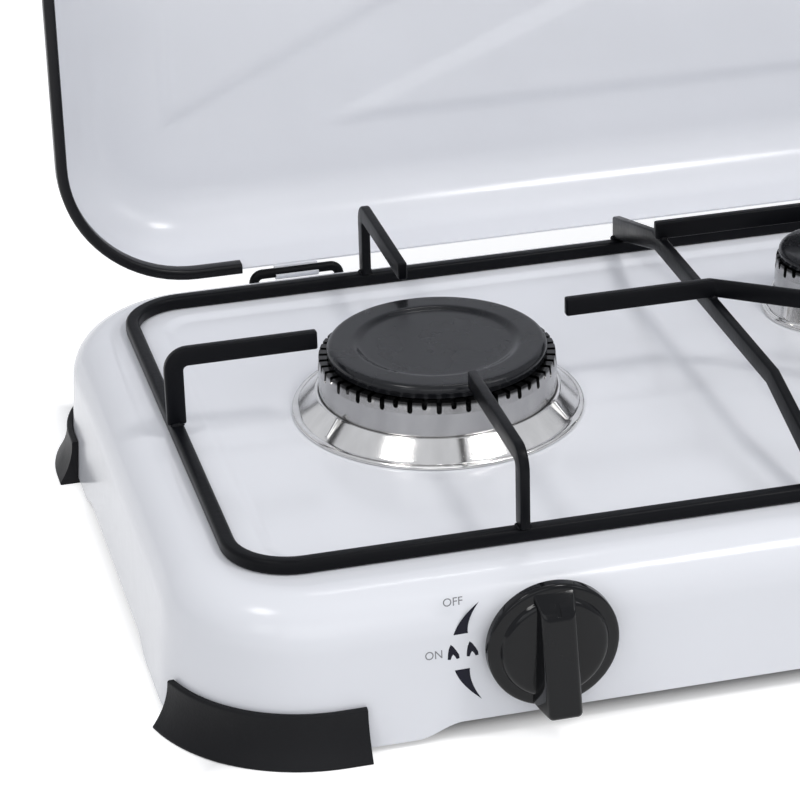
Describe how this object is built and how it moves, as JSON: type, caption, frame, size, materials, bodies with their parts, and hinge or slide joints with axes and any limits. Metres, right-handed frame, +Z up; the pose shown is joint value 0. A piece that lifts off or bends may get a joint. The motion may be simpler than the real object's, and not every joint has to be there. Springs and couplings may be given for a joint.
{
  "type": "tabletop gas stove",
  "caption": "Tabletop gas stove: white enamel body on corner feet, a row of burners under a black bar grate, push-and-turn knobs and a hinged tray lid with black edge trim, open.",
  "frame": {"origin": "on the table, at the middle of the footprint of the stove with its lid open", "axes": "+X along the row of burners to the right seen from the front, +Y to the hinge side, +Z up"},
  "size_m": [0.689, 0.3844, 0.3654],
  "materials": {
    "white_enamel": "gloss enamel",
    "black_enamel": "satin enamel",
    "bezel_steel": "polished",
    "burner_aluminium": "turned",
    "plated_steel": "zinc plated",
    "valve_brass": "machined",
    "knob_plastic": "gloss",
    "foot_rubber": "satin",
    "trim_plastic": "satin"
  },
  "bodies": {
    "stove": {"cooktop_shell": "white_enamel", "grate_ring": "black_enamel", "grate_cross_bar": "black_enamel", "grate_centre_finger": "black_enamel", "grate_fingers_left": "black_enamel", "grate_divider_left": "black_enamel", "grate_arm_left": "black_enamel", "hinge_staple_left": "black_enamel", "rail_bracket_left": "plated_steel", "foot_front_left": "foot_rubber", "foot_rear_left": "foot_rubber", "grate_fingers_right": "black_enamel", "grate_divider_right": "black_enamel", "grate_arm_right": "black_enamel", "hinge_staple_right": "black_enamel", "rail_bracket_right": "plated_steel", "foot_front_right": "foot_rubber", "foot_rear_right": "foot_rubber", "burner_cap_left": "black_enamel", "burner_bezel_left": "bezel_steel", "burner_head_left": "burner_aluminium", "mixing_tube_left": "plated_steel", "valve_spring_left": "plated_steel", "burner_jet_left": "valve_brass", "valve_body_left": "valve_brass", "burner_cap_middle": "black_enamel", "burner_bezel_middle": "bezel_steel", "burner_head_middle": "burner_aluminium", "mixing_tube_middle": "plated_steel", "valve_spring_middle": "plated_steel", "burner_jet_middle": "valve_brass", "valve_body_middle": "valve_brass", "burner_cap_right": "black_enamel", "burner_bezel_right": "bezel_steel", "burner_head_right": "burner_aluminium", "mixing_tube_right": "plated_steel", "valve_spring_right": "plated_steel", "burner_jet_right": "valve_brass", "valve_body_right": "valve_brass", "foot_screws": "plated_steel", "burner_screws": "plated_steel", "gas_rail": "plated_steel", "staple_washers": "plated_steel", "hose_tail": "valve_brass"},
    "lid": {"lid_panel": "white_enamel", "lid_edge_trim": "trim_plastic", "hinge_leaf_left": "white_enamel", "hinge_leaf_right": "white_enamel"},
    "push_left": {"spring_washer_left": "plated_steel"},
    "knob_left": {"control_knob_left": "knob_plastic", "valve_stem_left": "plated_steel"},
    "push_middle": {"spring_washer_middle": "plated_steel"},
    "knob_middle": {"control_knob_middle": "knob_plastic", "valve_stem_middle": "plated_steel"},
    "push_right": {"spring_washer_right": "plated_steel"},
    "knob_right": {"control_knob_right": "knob_plastic", "valve_stem_right": "plated_steel"}
  },
  "joints": [
    {"name": "lid_hinge", "type": "hinge", "parent": "stove", "child": "lid", "pos_m": [0, 0.14597, 0.06325], "axis": [1, 0, 0], "range_deg": [0, 90]},
    {"name": "push_left", "type": "slide", "parent": "stove", "child": "push_left", "axis": [0, 1, 0], "range_m": [0, 0.002], "stiffness_N_per_m": 1500, "springref_m": -0.003, "deforming": ["valve_spring_left"]},
    {"name": "turn_left", "type": "hinge", "parent": "push_left", "child": "knob_left", "pos_m": [-0.1935, -0.17122, 0.03875], "axis": [0, -1, 0], "range_deg": [0, 180]},
    {"name": "push_middle", "type": "slide", "parent": "stove", "child": "push_middle", "axis": [0, 1, 0], "range_m": [0, 0.002], "stiffness_N_per_m": 1500, "springref_m": -0.003, "deforming": ["valve_spring_middle"]},
    {"name": "turn_middle", "type": "hinge", "parent": "push_middle", "child": "knob_middle", "pos_m": [0, -0.17122, 0.03875], "axis": [0, -1, 0], "range_deg": [0, 180]},
    {"name": "push_right", "type": "slide", "parent": "stove", "child": "push_right", "axis": [0, 1, 0], "range_m": [0, 0.002], "stiffness_N_per_m": 1500, "springref_m": -0.003, "deforming": ["valve_spring_right"]},
    {"name": "turn_right", "type": "hinge", "parent": "push_right", "child": "knob_right", "pos_m": [0.1935, -0.17122, 0.03875], "axis": [0, -1, 0], "range_deg": [0, 180]}
  ]
}
